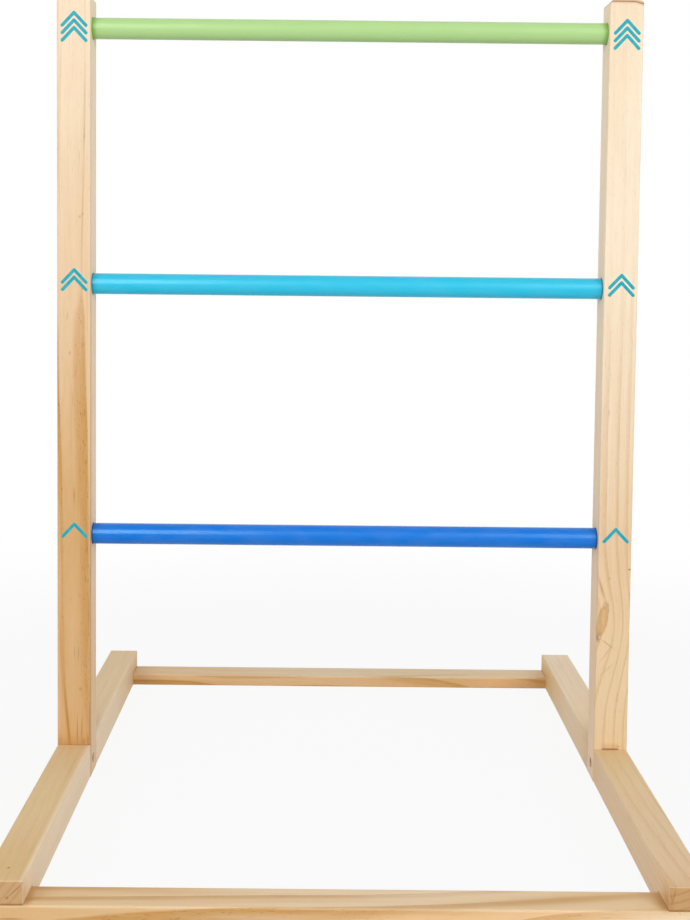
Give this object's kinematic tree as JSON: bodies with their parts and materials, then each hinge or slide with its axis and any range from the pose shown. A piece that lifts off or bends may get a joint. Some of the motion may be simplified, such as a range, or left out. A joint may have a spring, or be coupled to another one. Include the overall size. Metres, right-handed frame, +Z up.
{
  "type": "ladder golf target",
  "caption": "Free-standing wooden ladder toss target: square pine posts on a rectangular base, with painted round rungs between the posts.",
  "frame": {"origin": "on the floor, under the middle of the base", "axes": "+X along the rungs, to the right as the thrower sees them; -Y towards the thrower; +Z up"},
  "size_m": [0.678, 0.73, 0.922],
  "materials": {
    "pine": "planed pine, sanded, clear matt finish",
    "pine_crossbar": "planed pine with darker bands, sanded, clear matt finish",
    "green_paint": "light green satin paint on a wooden dowel",
    "sky_paint": "sky blue satin paint on a wooden dowel",
    "blue_paint": "blue satin paint on a wooden dowel",
    "teal_print": "thin teal screen print on the fronts of the posts: three, two and one upward chevrons beside the top, middle and bottom rungs",
    "bolt_steel": "bronzed steel",
    "zinc": "bright zinc plated steel"
  },
  "bodies": {
    "frame": {"post_left": "pine", "post_right": "pine", "side_rail_left": "pine", "side_rail_right": "pine", "crossbar_front": "pine_crossbar", "crossbar_rear": "pine_crossbar", "foot_bolt_left": "bolt_steel", "foot_bolt_right": "bolt_steel", "foot_washer_left": "zinc", "foot_washer_right": "zinc", "insert_nut_left": "zinc", "insert_nut_right": "zinc", "corner_screws_front_left": "zinc", "corner_screws_front_right": "zinc", "corner_screws_rear_left": "zinc", "corner_screws_rear_right": "zinc"},
    "rung_top": {"rung_top": "green_paint"},
    "rung_middle": {"rung_middle": "sky_paint"},
    "rung_bottom": {"rung_bottom": "blue_paint"}
  },
  "joints": [
    {"name": "rung_top_spin", "type": "hinge", "parent": "frame", "child": "rung_top", "pos_m": [0, 0, 0.886], "axis": [1, 0, 0], "continuous": true},
    {"name": "rung_middle_spin", "type": "hinge", "parent": "frame", "child": "rung_middle", "pos_m": [0, 0, 0.588], "axis": [1, 0, 0], "continuous": true},
    {"name": "rung_bottom_spin", "type": "hinge", "parent": "frame", "child": "rung_bottom", "pos_m": [0, 0, 0.29], "axis": [1, 0, 0], "continuous": true}
  ]
}
